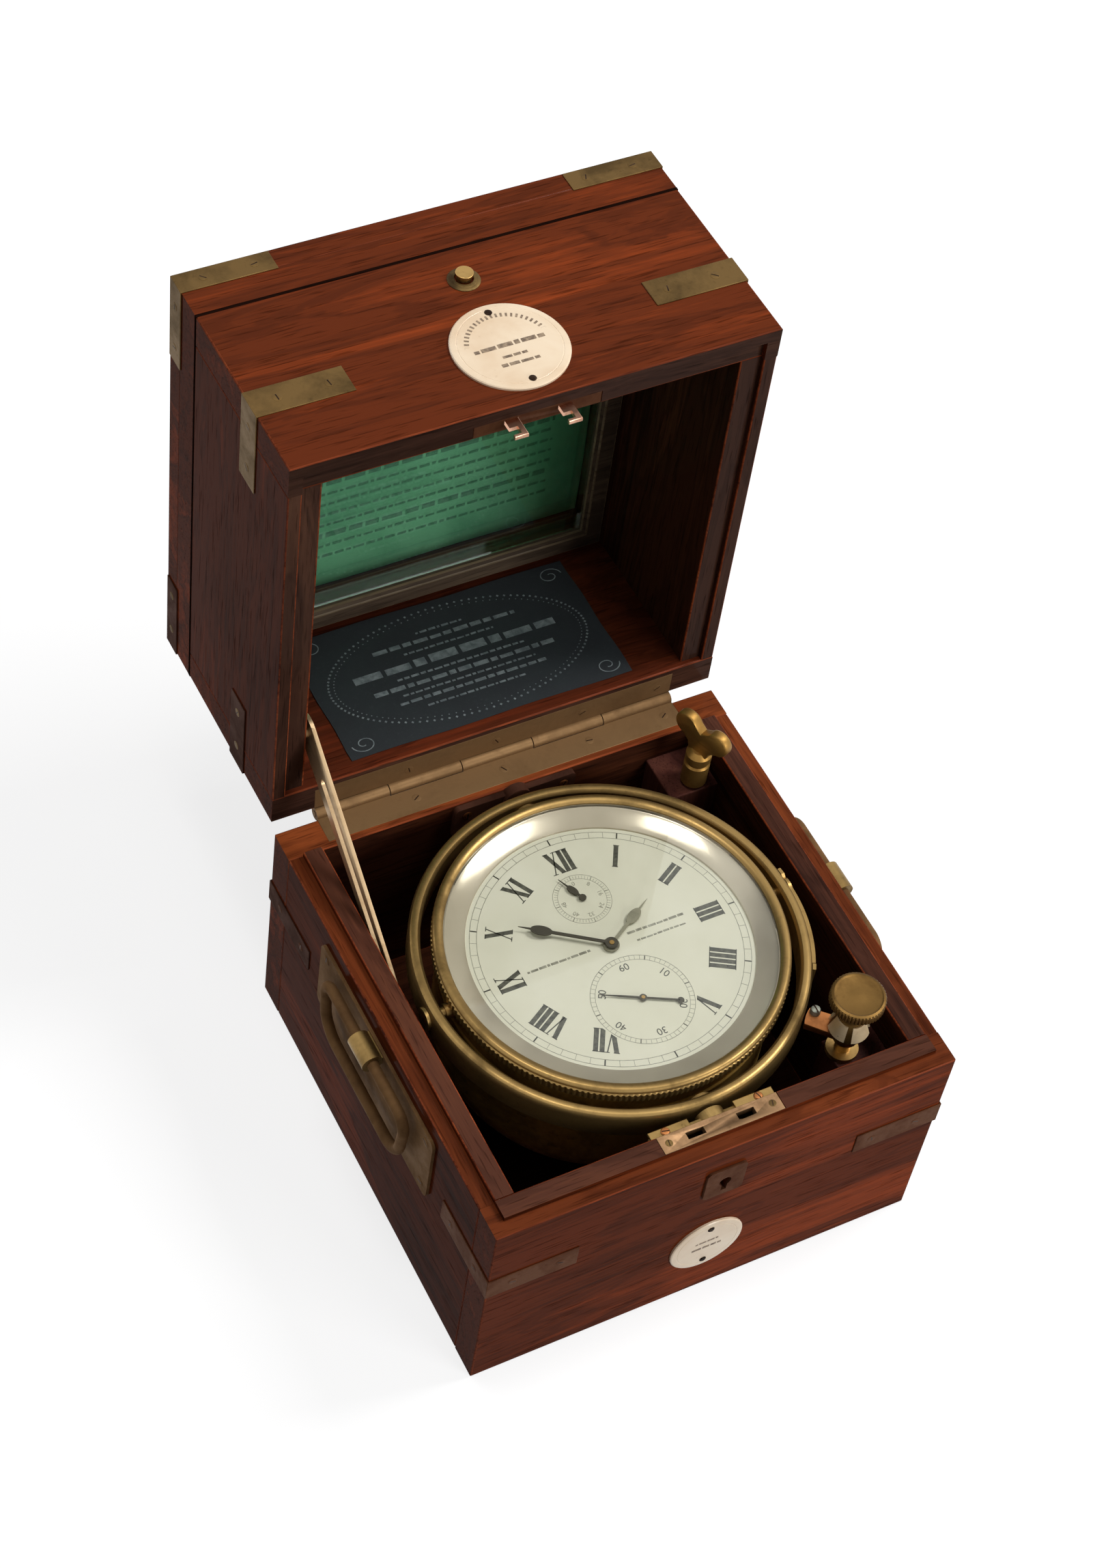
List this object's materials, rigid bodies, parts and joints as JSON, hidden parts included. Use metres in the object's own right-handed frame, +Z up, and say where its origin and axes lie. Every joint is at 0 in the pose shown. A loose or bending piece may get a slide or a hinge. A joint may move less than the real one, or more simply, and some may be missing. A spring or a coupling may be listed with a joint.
{
  "type": "marine chronometer in a wooden box",
  "caption": "Square mahogany box in three tiers with brass straps and hinged lid, holding a gimballed brass bowl with a silvered clock dial, a transit lock and a winding key.",
  "frame": {"origin": "middle of the underside of the base, on the surface that the box stands on", "axes": "+Z up, -Y towards the front with the lock, +X towards the side with the winding key"},
  "size_m": [0.2004, 0.2864, 0.2857],
  "materials": {
    "mahogany": "french-polished, worn at the edges",
    "dark_wood": "plain, unpolished inside",
    "aged_brass": "tarnished, satin",
    "bright_brass": "lacquered, satin",
    "silvered_brass": "silvered, fine matt",
    "ivorine": "smooth, slightly yellowed",
    "blued_steel": "blued",
    "steel": "bright",
    "clear_glass": "clear"
  },
  "bodies": {
    "base": {"base_front_board": "mahogany", "base_back_board": "mahogany", "base_left_board": "mahogany", "base_right_board": "mahogany", "base_bottom_board": "mahogany", "base_corner_straps": "aged_brass", "base_plaque": "ivorine", "keyhole_plate": "aged_brass", "lock_case": "aged_brass", "main_hinge_base_leaf": "aged_brass", "main_hinge_pin": "steel", "handle_plates": "aged_brass", "gimbal_brackets": "bright_brass", "transit_lock_post": "bright_brass", "lock_corner_block": "dark_wood", "key_corner_block": "dark_wood", "stay_base_stud": "bright_brass"},
    "mid_lid": {"mid_front_board": "mahogany", "mid_back_board": "mahogany", "mid_left_board": "mahogany", "mid_right_board": "mahogany", "glass_bead": "mahogany", "lid_glass": "clear_glass", "mid_corner_straps": "aged_brass", "mid_plaque": "ivorine", "lock_link_plate": "aged_brass", "main_hinge_lid_leaf": "aged_brass", "top_hinge_mid_leaf": "aged_brass", "top_hinge_pin": "steel"},
    "top_lid": {"top_frame": "mahogany", "top_panel": "mahogany", "top_corner_straps": "aged_brass", "catch_hook": "aged_brass", "top_hinge_top_leaf": "aged_brass"},
    "stay": {"stay_arm": "bright_brass"},
    "catch": {"catch_button": "bright_brass"},
    "bolt": {"lock_bolt": "bright_brass"},
    "key": {"winding_key": "bright_brass"},
    "bail_left": {"handle_bail_left": "aged_brass"},
    "bail_right": {"handle_bail_right": "aged_brass"},
    "ring": {"gimbal_ring": "bright_brass", "gimbal_pivots": "steel"},
    "bowl_body": {"bowl": "bright_brass", "bezel": "bright_brass", "bezel_glass": "clear_glass", "reflector_ring": "silvered_brass", "dial": "silvered_brass", "movement_pillar_plate": "bright_brass", "movement_back_plate": "bright_brass"},
    "seconds_arbor": {"seconds_hand": "blued_steel", "fourth_wheel": "bright_brass"},
    "minute_arbor": {"minute_hand": "blued_steel", "centre_wheel": "bright_brass"},
    "hour_pipe": {"hour_hand": "blued_steel"},
    "reserve_arbor": {"reserve_hand": "blued_steel"},
    "barrel": {"spring_barrel": "bright_brass"},
    "fusee_body": {"fusee": "bright_brass"},
    "balance_body": {"balance": "bright_brass"},
    "transit_arm": {"transit_lock_arm": "bright_brass"},
    "transit_knob": {"transit_lock_knob": "bright_brass"}
  },
  "joints": [
    {"name": "lid_hinge", "type": "hinge", "parent": "base", "child": "mid_lid", "pos_m": [0, 0.0938, 0.0983], "axis": [1, 0, 0], "range_deg": [0, 91]},
    {"name": "top_lid_hinge", "type": "hinge", "parent": "mid_lid", "child": "top_lid", "pos_m": [0, 0.1699, 0.09757], "axis": [-1, 0, 0], "range_deg": [0, 95]},
    {"name": "stay_pivot", "type": "hinge", "parent": "mid_lid", "child": "stay", "pos_m": [-0.0755, 0.10081, 0.13918], "axis": [1, 0, 0], "range_deg": [-94, 0]},
    {"name": "catch_push", "type": "slide", "parent": "mid_lid", "child": "catch", "axis": [0, -0.0175, -0.9998], "range_m": [0, 0.002], "stiffness_N_per_m": 400, "springref_m": -0.002},
    {"name": "bolt_throw", "type": "slide", "parent": "base", "child": "bolt", "axis": [1, 0, 0], "range_m": [0, 0.003]},
    {"name": "key_lift", "type": "slide", "parent": "base", "child": "key", "axis": [0, 0, 1], "range_m": [0, 0.042]},
    {"name": "left_bail_pivot", "type": "hinge", "parent": "base", "child": "bail_left", "pos_m": [-0.0962, 0, 0.087], "axis": [0, 1, 0], "range_deg": [0, 100]},
    {"name": "right_bail_pivot", "type": "hinge", "parent": "base", "child": "bail_right", "pos_m": [0.0962, 0, 0.087], "axis": [0, -1, 0], "range_deg": [0, 100]},
    {"name": "gimbal_outer", "type": "hinge", "parent": "base", "child": "ring", "pos_m": [0, 0, 0.094], "axis": [0, 1, 0], "range_deg": [-18, 18]},
    {"name": "gimbal_inner", "type": "hinge", "parent": "ring", "child": "bowl_body", "pos_m": [0, 0, 0.094], "axis": [1, 0, 0], "range_deg": [-18, 18]},
    {"name": "seconds_turn", "type": "hinge", "parent": "bowl_body", "child": "seconds_arbor", "pos_m": [0, -0.0245, 0.0765], "axis": [0, 0, -1], "continuous": true},
    {"name": "minute_turn", "type": "hinge", "parent": "bowl_body", "child": "minute_arbor", "pos_m": [0, 0, 0.0675], "axis": [0, 0, -1], "continuous": true},
    {"name": "hour_turn", "type": "hinge", "parent": "bowl_body", "child": "hour_pipe", "pos_m": [0, 0, 0.0988], "axis": [0, 0, -1], "continuous": true},
    {"name": "barrel_turn", "type": "hinge", "parent": "bowl_body", "child": "barrel", "pos_m": [-0.025, 0.00248, 0.0785], "axis": [0, 0, -1], "continuous": true},
    {"name": "fusee_turn", "type": "hinge", "parent": "bowl_body", "child": "fusee_body", "pos_m": [0.025, 0.00248, 0.0785], "axis": [0, 0, -1], "continuous": true},
    {"name": "reserve_turn", "type": "hinge", "parent": "bowl_body", "child": "reserve_arbor", "pos_m": [0, 0.0225, 0.0985], "axis": [0, 0, -1], "range_deg": [-128, 132]},
    {"name": "balance_swing", "type": "hinge", "parent": "bowl_body", "child": "balance_body", "pos_m": [0, -0.016, 0.0533], "axis": [0, 0, 1], "range_deg": [-220, 220], "stiffness_Nm_per_rad": 0.00018},
    {"name": "transit_arm_swing", "type": "hinge", "parent": "base", "child": "transit_arm", "pos_m": [0.0625, -0.0635, 0.0945], "axis": [0, 0, 1], "range_deg": [-45, 45]},
    {"name": "transit_knob_turn", "type": "hinge", "parent": "base", "child": "transit_knob", "pos_m": [0.0625, -0.0635, 0.1157], "axis": [0, 0, 1], "range_deg": [0, 360]}
  ],
  "couplings": [
    {"joint": "stay_pivot", "follows": "lid_hinge", "ratio": -1.0267},
    {"joint": "minute_turn", "follows": "seconds_turn", "ratio": 0.016667},
    {"joint": "hour_turn", "follows": "seconds_turn", "ratio": 0.0013889},
    {"joint": "fusee_turn", "follows": "seconds_turn", "ratio": -0.002381},
    {"joint": "barrel_turn", "follows": "seconds_turn", "ratio": -0.0025}
  ]
}
